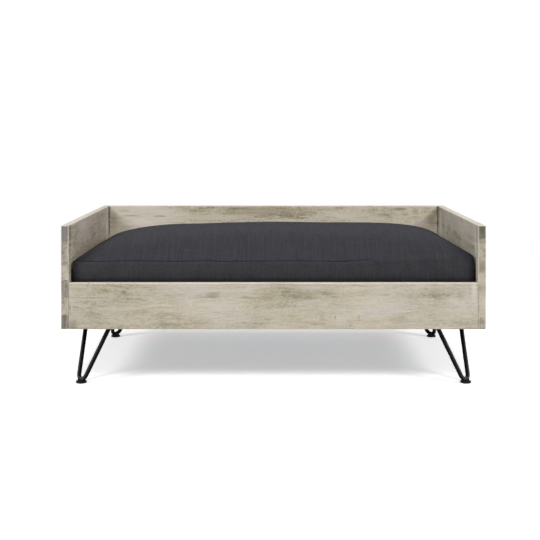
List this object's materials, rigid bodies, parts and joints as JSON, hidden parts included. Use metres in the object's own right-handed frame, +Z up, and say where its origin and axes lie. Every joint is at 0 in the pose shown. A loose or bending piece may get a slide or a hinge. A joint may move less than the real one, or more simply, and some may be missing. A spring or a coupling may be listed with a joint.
{
  "type": "dog bed with frame",
  "caption": "Raised dog bed: a grey-washed wooden box with high sides and back and a low front rail, on black hairpin legs, holding a thick crowned cushion with a zipped cover.",
  "frame": {"origin": "on the floor, under the middle of the bed's footprint", "axes": "+X to the right as seen from the front, along the bed's length; +Y from the front rail to the back panel; +Z up"},
  "size_m": [0.902, 0.578, 0.342],
  "materials": {
    "washed_wood": "matte",
    "base_wood": "matte",
    "dowel_wood": "matte",
    "screw_steel": "satin",
    "black_screw_steel": "satin",
    "black_steel": "satin",
    "pad_rubber": "matte",
    "cover_fabric": "matte",
    "insert_fabric": "matte",
    "zip_tape": "matte",
    "zip_plastic": "satin",
    "zip_metal": "satin"
  },
  "bodies": {
    "frame": {"left_side_panel": "washed_wood", "right_side_panel": "washed_wood", "back_panel": "washed_wood", "front_rail": "washed_wood", "front_ledger": "base_wood", "back_ledger": "base_wood", "slat_1": "base_wood", "slat_2": "base_wood", "slat_3": "base_wood", "slat_4": "base_wood", "slat_5": "base_wood", "slat_6": "base_wood", "slat_7": "base_wood", "slat_8": "base_wood", "slat_9": "base_wood", "corner_block_front_left": "base_wood", "corner_block_front_right": "base_wood", "corner_block_back_left": "base_wood", "corner_block_back_right": "base_wood", "panel_dowels": "dowel_wood", "slat_screws": "screw_steel", "frame_screws": "screw_steel", "leg_screws": "black_screw_steel", "hairpin_rod_front_left": "black_steel", "leg_plate_front_left": "black_steel", "foot_pad_front_left": "pad_rubber", "hairpin_rod_front_right": "black_steel", "leg_plate_front_right": "black_steel", "foot_pad_front_right": "pad_rubber", "hairpin_rod_back_left": "black_steel", "leg_plate_back_left": "black_steel", "foot_pad_back_left": "pad_rubber", "hairpin_rod_back_right": "black_steel", "leg_plate_back_right": "black_steel", "foot_pad_back_right": "pad_rubber"},
    "cushion": {"cushion_cover": "cover_fabric", "cushion_insert": "insert_fabric", "zipper_tape": "zip_tape", "zipper_chain": "zip_plastic", "zipper_stops": "zip_metal"},
    "zipper_slider": {"zipper_slider": "zip_metal"},
    "zipper_pull": {"zipper_pull": "zip_metal"}
  },
  "joints": [
    {"name": "cushion_lift", "type": "slide", "parent": "frame", "child": "cushion", "axis": [0, 0, 1], "range_m": [0, 0.2]},
    {"name": "zipper_run", "type": "slide", "parent": "cushion", "child": "zipper_slider", "axis": [1, 0, 0], "range_m": [0, 0.58]},
    {"name": "zipper_pull_swing", "type": "hinge", "parent": "zipper_slider", "child": "zipper_pull", "pos_m": [-0.29, 0.2661, 0.222], "axis": [0, 1, 0], "range_deg": [-60, 60]}
  ]
}
